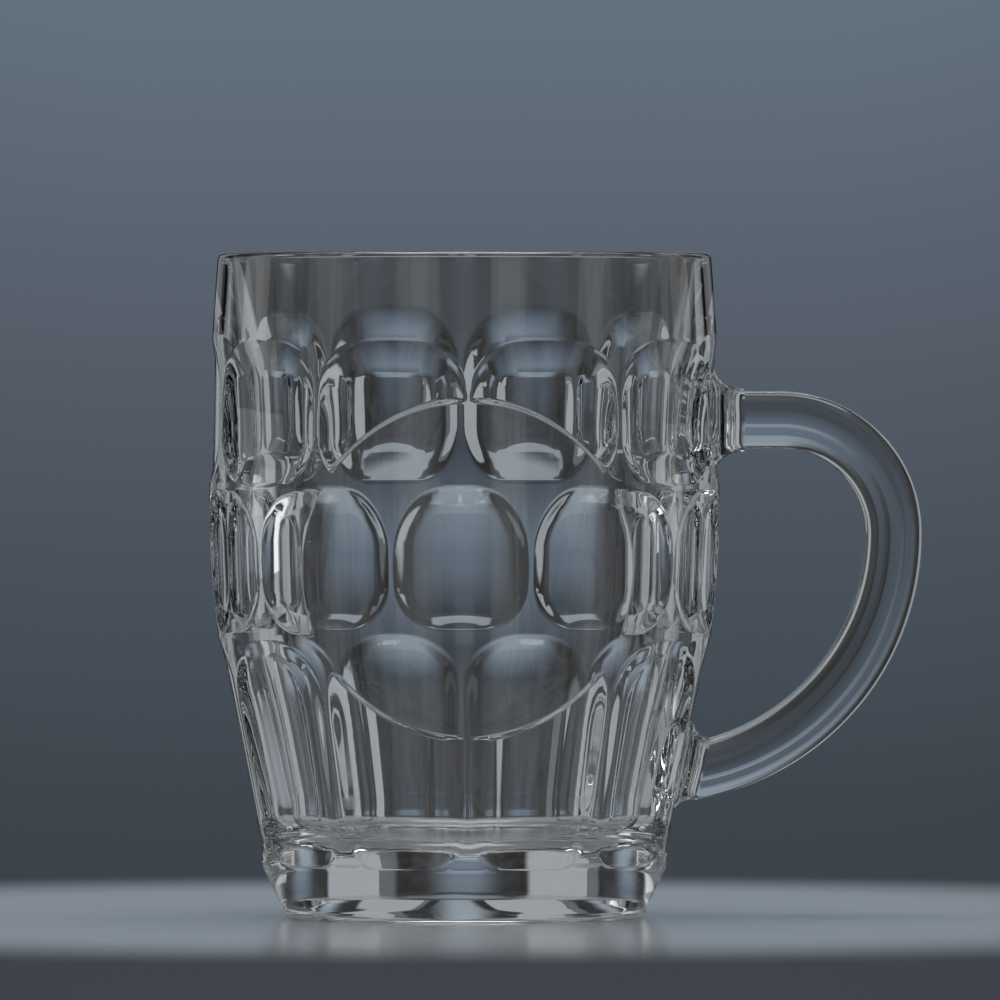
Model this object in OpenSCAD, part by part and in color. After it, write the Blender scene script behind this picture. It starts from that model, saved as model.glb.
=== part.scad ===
// Dimpled glass beer mug: a pressed tumbler with two rows of thumb dimples over a row of
// long flutes, and a D-shaped glass handle fused on through a pad at each end.
// Millimetres. The mug stands on z = 0 around the z axis, its handle points to +x and its
// plain round panel faces -y.

/* [Foot] */
// Height of the foot, from the table to the crease above it
foot_h = 9.3; // [6:0.1:14]
// How far the foot narrows from that crease to the table
foot_taper = 3.8; // [1:0.1:6]
// Radius of the rounded edge that the foot stands on
foot_edge_r = 1.5; // [0.5:0.1:3]
// Thickness of the glass under the drink
floor_t = 13; // [8:0.5:18]

/* [Outside form] */
// Radius at the widest, between the two rows of dimples
belly_r = 48.9; // [42:0.1:60]
// How much smaller the rim's outside radius is
rim_set_in = 1.6; // [0.5:0.1:4]
// How much smaller the radius is at the top of the straight taper
taper_top_set_in = 3.3; // [1:0.1:8]
// How much smaller the radius is at the crease above the foot
foot_set_in = 10.3; // [8:0.1:14]
// Height of the straight taper above the foot
taper_h = 32.7; // [20:0.1:40]
// Height of the straight-sided belt at the widest place
belt_h = 6; // [2:0.5:10]
// Height of the plain band above the upper dimples
rim_band_h = 16.7; // [8:0.1:30]

/* [Glass thickness] */
// Wall at the rim
rim_wall = 2.5; // [1.5:0.1:5]
// Wall at the widest place
belly_wall = 6.6; // [5:0.1:9]
// Wall at the top of the straight taper
taper_wall = 6.4; // [5:0.1:9]
// Wall where it meets the floor
floor_wall = 4.4; // [3:0.1:8]
// Radius of the rounded corner between the wall and the floor inside
floor_round_r = 9; // [3:0.5:12]

/* [Dimples] */
// How many dimples each row has, and how many flutes
dimples_per_row = 10; // [8:2:12]
// Height of a dimple
dimple_h = 27.5; // [20:0.5:32]
// Width of the plain ridge left between two neighbours
ridge_w = 0.9; // [0.5:0.1:3]
// Depth of a dimple at its middle
dimple_depth = 1.8; // [1:0.1:2.2]
// Depth of a dimple or flute that lies across the line where the mould opens
seam_depth = 0.8; // [0.4:0.1:1.2]
// Radius of a dimple's corners
dimple_corner_r = 9.8; // [5:0.1:12]
// Upright hollow curve of a dimple in the upper row
upper_floor_r = 110; // [80:1:200]
// Upright hollow curve of a dimple in the lower row
lower_floor_r = 150; // [80:1:300]
// Upright hollow curve of a dimple on the mould line
seam_floor_r = 260; // [150:5:500]
// Level curve of a dimple's floor
floor_curve_r = 150; // [100:1:300]
// Level curve of the floor on the mould line
seam_curve_r = 66; // [60:1:90]

/* [Flutes] */
// Height of a flute
flute_h = 43; // [30:0.5:50]
// Plain height between the foot's crease and a flute
flute_foot_gap = 1.2; // [0.5:0.1:4]
// Depth of a flute at its two ends
flute_depth = 1.4; // [0.8:0.1:2]
// Depth at the ends of a flute that lies across the mould line
seam_flute_depth = 0.5; // [0.3:0.1:1]
// Radius of a flute's upper corners
flute_top_r = 9; // [4:0.1:10]
// Radius of a flute's lower corners
flute_foot_r = 4.5; // [2:0.1:6]

/* [Round panel] */
// Radius of the plain round panel on the front
panel_r = 31.5; // [20:0.5:40]
// Height of the panel's middle above the table
panel_z = 67; // [50:0.5:80]

/* [Handle] */
// Thickness of the bar, from its inner to its outer edge
bar_t = 10.9; // [8:0.1:12]
// Width of the bar, seen from its end
bar_w = 13; // [10:0.1:14]
// Width of the flat band along each side of the bar
bar_flat_w = 2.95; // [2:0.05:4]
// How far that band sits outward of the middle of the bar
bar_flat_shift = 0.35; // [0:0.05:0.8]
// Width of the bar's inner and outer edges before they are rounded
bar_edge_w = 7; // [5:0.1:9]
// Radius of those rounded edges
bar_round_r = 2.6; // [1:0.1:3]
// Radius that softens the two edges of the flat band
bar_crease_r = 0.3; // [0.1:0.1:1]
// Radius of the bar's middle line round its upper bend
upper_bend_r = 21.7; // [18:0.1:26]
// Radius of the bar's middle line round its long lower sweep
lower_bend_r = 46.2; // [44:0.1:52]
// Height where the two bends meet, the bar's furthest point
handle_z = 73.4; // [70:0.1:78]
// Straight length of the bar between the upper pad and the bend
upper_run = 7; // [2:0.1:10]

/* [Handle pads] */
// Thickness of the upper pad on the widest place of the wall
upper_pad_t = 4.6; // [3:0.1:7]
// Thickness of the lower pad on the straight taper
lower_pad_t = 3; // [2:0.1:6]
// Radius of each pad where the bar is fused to it
pad_r = 7; // [6.9:0.1:7.5]
// Radius of the upper pad's wide foot on the wall
upper_pad_foot_r = 11.4; // [9:0.1:12]
// Radius of the lower pad's wide foot on the wall
lower_pad_foot_r = 9.2; // [8:0.1:10]
// Radius of the hollow round the upper pad
upper_fillet_r = 6; // [5:0.1:9]
// Radius of the hollow round the lower pad
lower_fillet_r = 4; // [3.5:0.1:6]

/* [Hidden] */
$fn = 96;
// Steps round the wide circles that shape the dimple floors
floor_steps = 480;
// Steps in each curved stretch of an outline
curve_steps = 6;
// Overrun of every cut past the surface it opens
cut = 4;

// Heights up the tumbler, from the table
flute_foot_z = foot_h + flute_foot_gap;
flute_top_z = flute_foot_z + flute_h;
lower_row_z = flute_top_z + ridge_w + dimple_h / 2;
upper_row_z = lower_row_z + dimple_h + ridge_w;
mug_h = upper_row_z + dimple_h / 2 + rim_band_h;
rim_z = mug_h - rim_wall / 2;
taper_top_z = foot_h + taper_h;
belly_low_z = (lower_row_z + upper_row_z) / 2;
belly_high_z = belly_low_z + belt_h;

// Radii of the outside and of the cavity
rim_r = belly_r - rim_set_in;
taper_top_r = belly_r - taper_top_set_in;
foot_top_r = belly_r - foot_set_in;
foot_base_r = foot_top_r - foot_taper;
cavity_r = belly_r - belly_wall;
rim_cavity_r = rim_r - rim_wall;
taper_cavity_r = taper_top_r - taper_wall;
floor_r = foot_top_r - floor_wall;

// Angles round the tumbler, with the front at 0 and the handle at 90 degrees
pitch_a = 360 / dimples_per_row;
handle_a = 90;
taper_a = atan((taper_top_r - foot_top_r) / taper_h);

// The handle's bend centres, and its two ends where they meet the pads
bar_start_x = belly_r + upper_pad_t;
upper_bend_x = bar_start_x + upper_run;
lower_bend_x = upper_bend_x + upper_bend_r - lower_bend_r;
upper_bar_z = handle_z + upper_bend_r;
lower_end_off = lower_pad_t
    + cos(taper_a) * (foot_top_r - lower_bend_x)
    + sin(taper_a) * (handle_z - foot_h);
lower_end_a = taper_a + acos(lower_end_off / lower_bend_r);
bar_end_x = lower_bend_x + lower_bend_r * cos(lower_end_a);
bar_end_z = handle_z - lower_bend_r * sin(lower_end_a);

// A circle's radius that leaves a vertical line by rise and is off it by run
function arc_r(rise, run) = (rise * rise + run * run) / (2 * run);

// Points up a curve that is vertical at its level from_z, with radius r there, and
// is off by run at its far level to_z
function swell(r, from_z, to_z, run) =
    let (big_r = arc_r(abs(to_z - from_z), abs(run)), way = sign(run))
    [for (i = [0:curve_steps])
        let (z = from_z + (to_z - from_z) * i / curve_steps)
        [r + way * (big_r - sqrt(big_r * big_r - pow(z - from_z, 2))), z]];

// Points round a circle's arc, from one angle to another
function arc(cx, cz, r, from_a, to_a, steps) =
    [for (i = [0:steps])
        let (a = from_a + (to_a - from_a) * i / steps)
        [cx + r * cos(a), cz + r * sin(a)]];

// The same points in the other order
function turned(points) = [for (i = [len(points) - 1:-1:0]) points[i]];

// Radius of the outside on the curve below the widest place
function lower_curve_r(z) =
    let (big_r = arc_r(belly_low_z - taper_top_z, taper_top_set_in))
    belly_r - big_r + sqrt(big_r * big_r - pow(belly_low_z - z, 2));

// Half of the outside's outline, without dimples, from the foot up to the rim's crown
outside_points = concat(
    arc(foot_base_r - foot_edge_r, foot_edge_r, foot_edge_r, -90, 0, curve_steps),
    [[foot_top_r, foot_h]],
    turned(swell(belly_r, belly_low_z, taper_top_z, -taper_top_set_in)),
    swell(belly_r, belly_high_z, rim_z, -rim_set_in)
);

// The rounded crown of the rim
rim_points = arc(rim_r - rim_wall / 2, rim_z, rim_wall / 2, 0, 180, 2 * curve_steps);

// Half of the cavity's outline, from the rim down to the floor
cavity_points = concat(
    turned(swell(cavity_r, belly_high_z, rim_z, rim_cavity_r - cavity_r)),
    swell(cavity_r, belly_low_z, taper_top_z, taper_cavity_r - cavity_r),
    arc(floor_r - floor_round_r, floor_t + floor_round_r, floor_round_r, 0, -90, curve_steps)
);

// The plain tumbler, with no dimples and no cavity
module solid_form() {
    rotate_extrude()
        polygon(concat([[0, 0]], outside_points, [[rim_cavity_r, rim_z], [0, rim_z]]));
}

// The drink's space, open at the top
module cavity() {
    rotate_extrude()
        polygon(concat(
            [[0, mug_h + cut], [rim_cavity_r, mug_h + cut]],
            cavity_points,
            [[0, floor_t]]
        ));
}

// The crown of the rim, a half ring on top of the wall
module rim_crown() {
    rotate_extrude()
        polygon(rim_points);
}

// A closed outline with its corners rounded, each to the radius of its own place in radii
function rounded(points, radii) =
    let (n = len(points))
    [for (i = [0:n - 1], j = [0:curve_steps])
        let (
            here = points[i],
            back = points[(i + n - 1) % n] - here,
            on = points[(i + 1) % n] - here,
            u = back / norm(back),
            v = on / norm(on),
            half_a = acos(u * v) / 2,
            mid = (u + v) / norm(u + v),
            centre = here + mid * radii[i] / sin(half_a),
            first = here + u * radii[i] / tan(half_a) - centre,
            turn = (90 - half_a) * 2 * j / curve_steps
        )
        centre + [
            first[0] * cos(turn) - first[1] * sin(turn),
            first[0] * sin(turn) + first[1] * cos(turn)
        ]];

// A window that a cut goes through, with x out of the wall, y along it and z up it
module window(foot_half_w, top_half_w, half_h, foot_r, top_r) {
    corners = [
        [-foot_half_w, -half_h],
        [foot_half_w, -half_h],
        [top_half_w, half_h],
        [-top_half_w, half_h]
    ];
    rotate([90, 0, 90])
        translate([0, 0, -cut])
            linear_extrude(height = 2 * cut)
                polygon(rounded(corners, [foot_r, foot_r, top_r, top_r]));
}

// The cut for one dimple: x points out of the wall, z up it, with the origin on the surface
module dimple_cut(depth, hollow_r, curve_r, half_w) {
    $fn = floor_steps;
    reach_a = 2 * asin((half_w + ridge_w) / curve_r);
    intersection() {
        window(half_w, half_w, dimple_h / 2, dimple_corner_r, dimple_corner_r);
        translate([-depth - curve_r, 0, 0])
            rotate([0, 0, -reach_a / 2])
                rotate_extrude(angle = reach_a)
                    translate([curve_r + hollow_r, 0])
                        circle(r = hollow_r);
    }
}

// The cut for one flute, in the same directions, with the origin at the flute's middle
module flute_cut(depth, curve_r, foot_half_w, top_half_w) {
    $fn = floor_steps;
    difference() {
        window(foot_half_w, top_half_w, flute_h / 2, flute_foot_r, flute_top_r);
        translate([-depth - curve_r, 0, 0])
            cylinder(r = curve_r, h = flute_h + 2 * cut, center = true);
    }
}

// Turns its children to an angle round the tumbler, from the front towards the handle
module at_angle(a) {
    rotate([0, 0, a - handle_a])
        children();
}

// Half the width of a dimple or flute where the outside has radius r
function half_w_at(r) = r * sin(pitch_a / 2) - ridge_w / 2;

// True for an angle on the line where the mould opens, which runs through the handle
function on_seam(a) = abs(cos(a)) < sin(pitch_a / 4);

// One dimple's cut at its place on the tumbler, leaning with the wall there
module placed_dimple(a, z, r, lean_a, hollow_r) {
    seam = on_seam(a);
    at_angle(a)
        translate([r, 0, z])
            rotate([0, lean_a, 0])
                dimple_cut(
                    seam ? seam_depth : dimple_depth,
                    seam ? seam_floor_r : hollow_r,
                    seam ? seam_curve_r : floor_curve_r,
                    half_w_at(r)
                );
}

// One flute's cut at its place, its floor even with the chord of the wall it lies in
module placed_flute(a) {
    foot_r = foot_top_r + flute_foot_gap * tan(taper_a);
    top_r = lower_curve_r(flute_top_z);
    lean_a = atan((top_r - foot_r) / flute_h);
    seam = on_seam(a);
    at_angle(a)
        translate([(foot_r + top_r) / 2, 0, (flute_foot_z + flute_top_z) / 2])
            rotate([0, lean_a, 0])
                flute_cut(
                    seam ? seam_flute_depth : flute_depth,
                    seam ? seam_curve_r : floor_curve_r,
                    half_w_at(foot_r),
                    half_w_at(top_r)
                );
}

// The plain round panel's space, where no dimple or flute is cut
module panel() {
    translate([0, 0, panel_z])
        rotate([90, 0, 0])
            cylinder(r = panel_r, h = belly_r + cut);
}

// Leaves the panel out of a cut on the front half of the tumbler
module clear_of_panel(a) {
    if (cos(a) > 0)
        difference() {
            children();
            panel();
        }
    else
        children();
}

// The lower row stands halfway between the upper one, and the panel takes its front dimple
module pressed_pattern() {
    lower_row_r = lower_curve_r(lower_row_z);
    lower_row_lean = asin((belly_low_z - lower_row_z) / arc_r(belly_low_z - taper_top_z, taper_top_set_in));
    for (i = [0:dimples_per_row - 1]) {
        a = (i + 0.5) * pitch_a;
        clear_of_panel(a)
            placed_dimple(a, upper_row_z, belly_r, 0, upper_floor_r);
        clear_of_panel(a)
            placed_flute(a);
    }
    for (i = [1:dimples_per_row - 1])
        clear_of_panel(i * pitch_a)
            placed_dimple(i * pitch_a, lower_row_z, lower_row_r, lower_row_lean, lower_floor_r);
}

// The wall under the handle, as the pads meet it
module wall_at_handle() {
    difference() {
        solid_form();
        placed_dimple(handle_a, upper_row_z, belly_r, 0, upper_floor_r);
        placed_flute(handle_a);
    }
}

// The bar's section: a flat band on each side between sloped shoulders, edges rounded
module bar_section() {
    flat_in = bar_flat_shift - bar_flat_w / 2;
    flat_out = bar_flat_shift + bar_flat_w / 2;
    corners = [
        [-bar_t / 2, -bar_edge_w / 2],
        [flat_in, -bar_w / 2],
        [flat_out, -bar_w / 2],
        [bar_t / 2, -bar_edge_w / 2],
        [bar_t / 2, bar_edge_w / 2],
        [flat_out, bar_w / 2],
        [flat_in, bar_w / 2],
        [-bar_t / 2, bar_edge_w / 2]
    ];
    half_radii = [bar_round_r, bar_crease_r, bar_crease_r, bar_round_r];
    polygon(rounded(corners, concat(half_radii, half_radii)));
}

// One bend of the bar in the upright plane, from one angle to another, 0 pointing to +x
module bend(x, r, from_a, to_a) {
    translate([x, 0, handle_z])
        rotate([90, 0, 0])
            rotate([0, 0, from_a])
                rotate_extrude(angle = to_a - from_a)
                    translate([r, 0])
                        bar_section();
}

// A pad: its small flat end at the origin, widening along +z into the wall
module pad(t, foot_r, fillet_r) {
    flare_a = acos(1 - (foot_r - pad_r) / fillet_r);
    flare = [for (i = [0:2 * curve_steps])
        let (a = flare_a * i / (2 * curve_steps))
        [pad_r + fillet_r * (1 - cos(a)), fillet_r * sin(a)]];
    rotate_extrude()
        polygon(concat([[0, 0]], flare, [[foot_r, t + 2 * cut], [0, t + 2 * cut]]));
}

module body() {
    color([0.78, 0.84, 0.87, 0.5])
        difference() {
            union() {
                solid_form();
                rim_crown();
            }
            cavity();
            pressed_pattern();
        }
}

module handle() {
    color([0.74, 0.81, 0.85, 0.5]) {
        translate([upper_bend_x, 0, upper_bar_z])
            rotate([0, -90, 0])
                linear_extrude(height = upper_run)
                    bar_section();
        bend(upper_bend_x, upper_bend_r, 0, 90);
        difference() {
            bend(lower_bend_x, lower_bend_r, -90, 0);
            translate([bar_end_x, 0, bar_end_z])
                rotate([0, taper_a, 0])
                    translate([-2 * bar_t, 0, 0])
                        cube([4 * bar_t, 2 * bar_w, 4 * bar_t], center = true);
        }
    }
}

module upper_handle_pad() {
    color([0.7, 0.78, 0.83, 0.5])
        difference() {
            translate([bar_start_x, 0, upper_bar_z])
                rotate([0, -90, 0])
                    pad(upper_pad_t, upper_pad_foot_r, upper_fillet_r);
            wall_at_handle();
        }
}

module lower_handle_pad() {
    color([0.7, 0.78, 0.83, 0.5])
        difference() {
            translate([bar_end_x, 0, bar_end_z])
                rotate([0, taper_a - 90, 0])
                    pad(lower_pad_t, lower_pad_foot_r, lower_fillet_r);
            wall_at_handle();
        }
}

body();
handle();
upper_handle_pad();
lower_handle_pad();
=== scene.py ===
# Dimpled glass beer mug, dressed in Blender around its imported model.
# Sizes are in millimetres and become metres where a mesh is made. The mug stands on z = 0,
# its handle points to +x and its round panel faces -y. Angles round it start at the front.
import math

import bmesh
import bpy
import numpy as np
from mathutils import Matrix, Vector
from mathutils.geometry import delaunay_2d_cdt


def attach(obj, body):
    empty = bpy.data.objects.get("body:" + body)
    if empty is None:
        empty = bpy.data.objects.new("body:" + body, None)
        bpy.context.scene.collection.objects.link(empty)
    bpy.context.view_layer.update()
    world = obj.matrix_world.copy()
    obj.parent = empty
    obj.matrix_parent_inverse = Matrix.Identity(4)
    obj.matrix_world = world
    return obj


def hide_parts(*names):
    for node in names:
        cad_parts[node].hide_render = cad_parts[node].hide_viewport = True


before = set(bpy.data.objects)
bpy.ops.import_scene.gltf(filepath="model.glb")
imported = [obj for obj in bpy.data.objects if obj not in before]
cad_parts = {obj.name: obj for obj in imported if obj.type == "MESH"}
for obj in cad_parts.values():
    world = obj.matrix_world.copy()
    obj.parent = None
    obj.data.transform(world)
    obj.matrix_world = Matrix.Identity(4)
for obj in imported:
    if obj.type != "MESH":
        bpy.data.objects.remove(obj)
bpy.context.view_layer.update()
mm = 0.001
print("frame loaded:", sorted(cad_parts))


def addObject(name, data):
    made = bpy.data.objects.new(name, data)
    bpy.context.scene.collection.objects.link(made)
    return made


def addMesh(name, verts, faces):
    mesh = bpy.data.meshes.new(name)
    mesh.from_pydata([tuple(v) for v in verts], [], faces)
    return addObject(name, mesh)


def addNode(tree, kind, inputs=None, **settings):
    # A node with its settings, and with inputs that are plain values or sockets to link
    node = tree.nodes.new(kind)
    for key, value in settings.items():
        setattr(node, key, value)
    for key, value in (inputs or {}).items():
        if isinstance(value, bpy.types.NodeSocket):
            tree.links.new(value, node.inputs[key])
        else:
            node.inputs[key].default_value = value
    return node


def reckon(tree, kind, *values):
    return addNode(tree, "ShaderNodeMath", dict(enumerate(values)), operation=kind).outputs[0]


def ranged(tree, value, low, high, kind="SMOOTHSTEP", toLow=0, toHigh=1):
    inputs = {"Value": value, "From Min": low, "From Max": high, "To Min": toLow, "To Max": toHigh}
    return addNode(tree, "ShaderNodeMapRange", inputs, interpolation_type=kind).outputs[0]


def addMaterial(name):
    material = bpy.data.materials.new(name)
    material.use_nodes = True
    return material, material.node_tree, material.node_tree.nodes["Principled BSDF"]


def addGroup(name, kind, inputs, outputs):
    # A node group with the sockets that are named, and the sockets inside it that they lead to
    tree = bpy.data.node_groups.new(name, kind)
    for inOut, kinds in (("INPUT", inputs), ("OUTPUT", outputs)):
        for label, socket in kinds.items():
            tree.interface.new_socket(label, in_out=inOut, socket_type="NodeSocket" + socket)
    return tree, tree.nodes.new("NodeGroupInput").outputs, tree.nodes.new("NodeGroupOutput").inputs


tumbler = {
    "bellyR": 48.9,           # widest, between the rows of dimples
    "rimR": 47.3,
    "taperTopR": 45.6,
    "creaseR": 38.6,          # at the crease above the foot
    "footR": 34.8,
    "creaseZ": 9.3,
    "taperTopZ": 42.0,
    "taperBlend": 6.0,        # the taper runs into the belly over this much on each side
    "bellyLowZ": 82.35,
    "bellyHighZ": 88.35,
    "rimZ": 125.75,           # where the rim's round crown starts
    "rimWall": 2.5,
    "bellyWall": 6.6,
    "taperWall": 6.4,
    "floorWall": 4.4,
    "cavityDraft": 0.004,     # how fast the cavity widens upwards at the belly
    "rimSlope": 0.058,        # at the rim
    "taperSlope": 0.25,       # and at the top of the taper
    "floorT": 13.0,
    "floorRound": 9.0,
    "footEdge": 1.5,
    "hollowR": 29.0,          # shallow hollow under the foot
    "hollowDeep": 0.7,
    "hollowBend": 0.8,        # less makes the hollow flatter and its edge steeper
}

# Faces round the mug, and along each stretch of its outline
turnSteps = {
    "round": 240, "rim": 14, "rimWall": 24, "bellyWall": 40, "taperWall": 10, "floorRound": 14,
    "floor": 12, "foot": 8, "footEdge": 7, "stand": 3,
}

press = {
    "perRow": 10,
    "dimpleH": 27.5,
    "ridgeW": 0.9,            # between two dimples
    "fluteFootZ": 10.5,
    "fluteTopZ": 53.5,
    "sideEase": 4.2,          # width over which a floor rounds up to its outline at the sides
    "leastDeep": 0.05,
    "facetRound": 0.15,       # how softly a floor runs into a flat facet
    "nearMould": 0.1,         # cosine within which a column counts as lying on the mould's seam
    "edgeSoft": 0.3,          # share of the panel's bevel that each of its edges is rounded over
    "reach": (1.2, 1.0),      # a press counts to this many times its width and this far past its ends
}
pitch = 360 / press["perRow"]

# A floor's depth, its lean and its level curve; where its hollow starts above the middle, and how round
# it is above and below (1e6 for flat); how wide its ends are and how straight; the slope of a flat facet
# along the foot (0 for none); its corners
plainPress = {"lean": 0.0, "headFrom": 0.0, "headFacet": 0.0, "facet": 0.0, "facetSlope": 0.0}
pressKinds = {
    "upper": {"deep": 2.5, "lean": 0.06, "level": 130.0, "headHollow": 150.0, "footHollow": 60.0,
              "headEase": 6.2, "footEase": 5.6, "headFacet": 0.85, "facet": 0.75, "facetSlope": 0.42,
              "headCorner": 9.2, "footCorner": 8.2},
    "lower": {"deep": 2.15, "lean": -0.01, "level": 150.0, "headFrom": 2.0, "headHollow": 80.0,
              "footHollow": 140.0, "headEase": 4.4, "footEase": 3.8, "facet": 0.5,
              "headCorner": 10.5, "footCorner": 9.8},
    "flute": {"deep": 1.5, "level": 150.0, "headFrom": 5.0, "headHollow": 110.0, "footHollow": 1e6,
              "headEase": 3.8, "footEase": 4.4, "facet": 0.4, "headCorner": 10.5, "footCorner": 6.0},
    "mouldDimple": {"deep": 0.85, "level": 66.0, "headHollow": 260.0, "footHollow": 260.0,
                    "headEase": 4.4, "footEase": 4.4, "headCorner": 9.8, "footCorner": 9.8},
    "mouldFlute": {"deep": 0.6, "level": 66.0, "headFrom": 6.5, "headHollow": 400.0, "footHollow": 1e6,
                   "headEase": 4.4, "footEase": 4.4, "headCorner": 9.0, "footCorner": 6.0},
}

roundPanel = {"r": 31.5, "z": 67.0, "bevel": 0.9, "reach": 75.0}   # it cuts no press past reach degrees

# Spacing of the pressed wall's points along edges and elsewhere, the least gap between them, how clear
# of the edges the others stay, the step over which a slope is measured, the reach of the last merge, and
# the points along a facet's edge
meshSteps = {
    "alongEdge": 0.9, "grid": 1.3, "weld": 0.05, "clear": 0.62, "slope": 0.03, "join": 0.02, "facet": 25,
}
beyond = 1000.0               # more than any length here
tiny = 1e-5                   # closer than this counts as the same

# Shares of the edge's width at which a ring of points follows each pressed outline
easeRings = (-0.09, 0.0, 0.09, 0.22, 0.4, 0.65, 1.0)
facetSides = (-0.12, 0.12)
panelRings = (-0.35, 0.0, 0.35, 0.65, 1.0, 1.35)


def arcRadius(rise, run):
    return (rise * rise + run * run) / (2 * run)


def outsideR(z):
    # Radius of the plain outside at height z
    t = tumbler
    z = np.asarray(z, float)
    lowR = arcRadius(t["bellyLowZ"] - t["taperTopZ"], t["bellyR"] - t["taperTopR"])
    highR = arcRadius(t["rimZ"] - t["bellyHighZ"], t["bellyR"] - t["rimR"])
    lean = (t["taperTopR"] - t["creaseR"]) / (t["taperTopZ"] - t["creaseZ"])
    taper = t["creaseR"] + (z - t["creaseZ"]) * lean
    low = t["bellyR"] - lowR + np.sqrt(np.maximum(lowR ** 2 - (t["bellyLowZ"] - z) ** 2, 0))
    high = t["bellyR"] - highR + np.sqrt(np.maximum(highR ** 2 - (z - t["bellyHighZ"]) ** 2, 0))
    belt = np.full_like(z, t["bellyR"])
    fromZ, toZ = t["taperTopZ"] - t["taperBlend"], t["taperTopZ"] + t["taperBlend"]
    rise = math.sqrt(lowR ** 2 - (t["bellyLowZ"] - toZ) ** 2)
    fromR, toR = t["taperTopR"] - lean * t["taperBlend"], t["bellyR"] - lowR + rise
    toLean = (t["bellyLowZ"] - toZ) / rise
    s, span = (z - fromZ) / (toZ - fromZ), toZ - fromZ
    blend = (
        (2 * s ** 3 - 3 * s ** 2 + 1) * fromR + (s ** 3 - 2 * s ** 2 + s) * span * lean
        + (3 * s ** 2 - 2 * s ** 3) * toR + (s ** 3 - s ** 2) * span * toLean
    )
    stretches = [z < fromZ, z < toZ, z < t["bellyLowZ"], z < t["bellyHighZ"]]
    return np.select(stretches, [taper, blend, low, belt], high)


def halfWidth(r):
    return r * math.sin(math.pi / press["perRow"]) - press["ridgeW"] / 2


def makePresses():
    # Every dimple and flute, with its place, half its height and its kind
    made = []
    fluteH = press["fluteTopZ"] - press["fluteFootZ"]
    lowerZ = press["fluteTopZ"] + press["ridgeW"] + press["dimpleH"] / 2
    upperZ = lowerZ + press["dimpleH"] + press["ridgeW"]
    fluteZ = (press["fluteFootZ"] + press["fluteTopZ"]) / 2

    def add(kind, a, z, height, flute=False):
        made.append({"a": a, "z": z, "halfH": height / 2, "flute": flute, **plainPress, **pressKinds[kind]})

    for i in range(press["perRow"]):
        between = (i + 0.5) * pitch
        onMould = abs(math.cos(math.radians(between))) < press["nearMould"]
        add("mouldDimple" if onMould else "upper", between, upperZ, press["dimpleH"])
        add("mouldFlute" if onMould else "flute", between, fluteZ, fluteH, flute=True)
        if i:
            add("lower", i * pitch, lowerZ, press["dimpleH"])
    for one in made:
        one["refR"] = float(outsideR(one["z"]))
        one["halfW"] = halfWidth(one["refR"])
    return made


presses = makePresses()


def windowFit(one, z):
    # A press's width at height z, against that at its middle
    if not one["flute"]:
        return np.ones_like(np.asarray(z, float))
    return halfWidth(outsideR(z)) / one["halfW"]


def pressLocal(one, a, z):
    # Level and upright distance from a press's middle
    turn = np.radians((a - one["a"] + 180) % 360 - 180)
    return outsideR(z) * np.sin(turn), z - one["z"], np.cos(turn)


def windowInset(one, u, v):
    # Distance inside a press's outline
    across = u / windowFit(one, v + one["z"])
    corner = np.where(v > 0, one["headCorner"], one["footCorner"])
    qx = np.abs(across) - (one["halfW"] - corner)
    qy = np.abs(v) - (one["halfH"] - corner)
    far = np.hypot(np.maximum(qx, 0), np.maximum(qy, 0))
    return corner - far - np.minimum(np.maximum(qx, qy), 0)


def angleAt(u, z):
    # The angle round the mug of a point u to the side of a middle line
    return np.degrees(np.arcsin(u / outsideR(z)))


def nearPanel(one):
    return abs((one["a"] + 180) % 360 - 180) < roundPanel["reach"]


def easeWidth(one, nx, below):
    return press["sideEase"] * nx ** 2 + np.where(below, one["footEase"], one["headEase"]) * (1 - nx ** 2)


def eased(t):
    # Rises from a crease at the outline and levels off into the floor
    return 1 - (1 - np.clip(t, 0, 1)) ** 2


def outlineReach(along, half, otherHalf, corner):
    # How far an outline reaches to its side at a distance along its middle line
    into = np.maximum(np.abs(along) - half + corner, 0)
    return otherHalf - corner + np.sqrt(np.maximum(corner ** 2 - into ** 2, 0))


def edgeShare(one, u, v):
    # 0 at a press's outline, 1 on its floor: soft sides and head, and a straighter end along the foot;
    # with it the most depth that a flat facet there leaves
    across = u / windowFit(one, v + one["z"])
    corner = np.where(v > 0, one["headCorner"], one["footCorner"])
    aside = outlineReach(v, one["halfH"], one["halfW"], corner) - np.abs(across)
    toEnd = outlineReach(across, one["halfW"], one["halfH"], corner) - np.abs(v)
    t = np.clip(toEnd / np.where(v < 0, one["footEase"], one["headEase"]), 0, 1)
    facet = np.where(v < 0, one["facet"], one["headFacet"])
    side = eased(aside / press["sideEase"])
    most = np.full_like(side, beyond)
    if one["facetSlope"]:
        t = np.where(v < 0, 1.0, t)
        most = np.where(v < 0, np.maximum(toEnd, 0) * one["facetSlope"], most)
    return side * (facet * t + (1 - facet) * eased(t)), most


def softRamp(t):
    # 0 outside the outline, 1 past the bevel, straight between with rounded ends
    f = press["edgeSoft"]

    def bend(x):
        return np.where(x < -f, 0.0, np.where(x > f, x, (x + f) ** 2 / (4 * f)))

    return bend(t) - bend(t - 1)


def panelInset(a, z):
    # Distance outside the round panel's edge; large on the back half
    x = outsideR(z) * np.sin(np.radians(a))
    d = np.hypot(x, z - roundPanel["z"]) - roundPanel["r"]
    return np.where(np.cos(np.radians(a)) > 0, d, beyond)


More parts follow.
